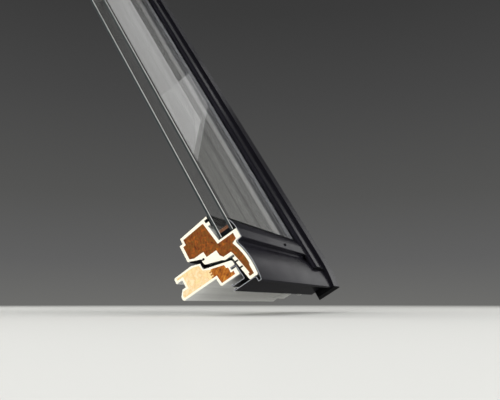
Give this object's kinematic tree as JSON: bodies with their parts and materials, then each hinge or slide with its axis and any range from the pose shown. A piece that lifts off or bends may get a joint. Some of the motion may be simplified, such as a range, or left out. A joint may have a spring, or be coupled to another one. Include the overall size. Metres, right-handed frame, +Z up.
{
  "type": "roof skylight",
  "caption": "Cut-away half of a top-hung roof window: moulded frame and sash on timber cores, sealed glass unit, folded dark metal covers, hinged at the head.",
  "frame": {"origin": "middle of the frame's lower face, on the face that bears on the roof batten, halfway between the cut and the outer side", "axes": "+Z up; the window leans back at 59 degrees, its outside facing -Y and up; +X from the cut face to the outer side of the frame"},
  "size_m": [0.3917, 0.6125, 0.8924],
  "materials": {
    "moulding_skin": "satin lacquered polyurethane, cream white",
    "pine": "planed pale softwood",
    "thermo_timber": "planed heat-treated softwood, red brown",
    "glass": "clear float glass",
    "spacer": "satin warm-edge spacer bar",
    "black_plastic": "matt black",
    "dark_screw": "black coated",
    "coated_aluminium": "satin anthracite coil coating",
    "zinc_steel": "zinc plated",
    "black_rubber": "matt extruded rubber"
  },
  "bodies": {
    "frame": {"frame_moulding": "moulding_skin", "frame_pine_bottom": "pine", "frame_pine_side": "pine", "frame_pine_head": "pine", "frame_thermo_bottom": "thermo_timber", "frame_thermo_side": "thermo_timber", "frame_thermo_head": "thermo_timber", "frame_batten_side": "pine", "frame_batten_head": "pine", "frame_flashing": "coated_aluminium", "frame_cover_side": "coated_aluminium", "frame_cover_head": "coated_aluminium", "frame_cover_end": "black_plastic", "frame_gasket": "black_rubber", "sill_strip": "black_rubber", "hinge_side_frame_leaf": "zinc_steel", "hinge_side_pin": "zinc_steel", "hinge_frame_screws": "zinc_steel", "frame_cover_screws": "dark_screw"},
    "sash": {"sash_moulding": "moulding_skin", "sash_core_bottom": "thermo_timber", "sash_core_side": "thermo_timber", "sash_core_head": "thermo_timber", "glass_inner": "glass", "glass_outer": "glass", "glass_spacer": "spacer", "glass_edge_seal": "black_rubber", "setting_block_middle": "black_plastic", "setting_block_side": "black_plastic", "glazing_gasket": "black_rubber", "glazing_seal_bottom": "black_rubber", "glazing_seal_upper": "black_rubber", "sash_cover_bottom": "coated_aluminium", "sash_cover_side": "coated_aluminium", "sash_cover_head": "coated_aluminium", "sash_cover_end": "black_plastic", "weather_gasket": "black_rubber", "nose_gasket": "black_rubber", "hinge_side_sash_leaf": "zinc_steel", "hinge_sash_screws": "zinc_steel", "ledge_screw": "dark_screw"}
  },
  "joints": [
    {"name": "sash_hinge", "type": "hinge", "parent": "frame", "child": "sash", "pos_m": [-0.19425, 0.39605, 0.84554], "axis": [-1, 0, 0], "range_deg": [0, 45]}
  ]
}
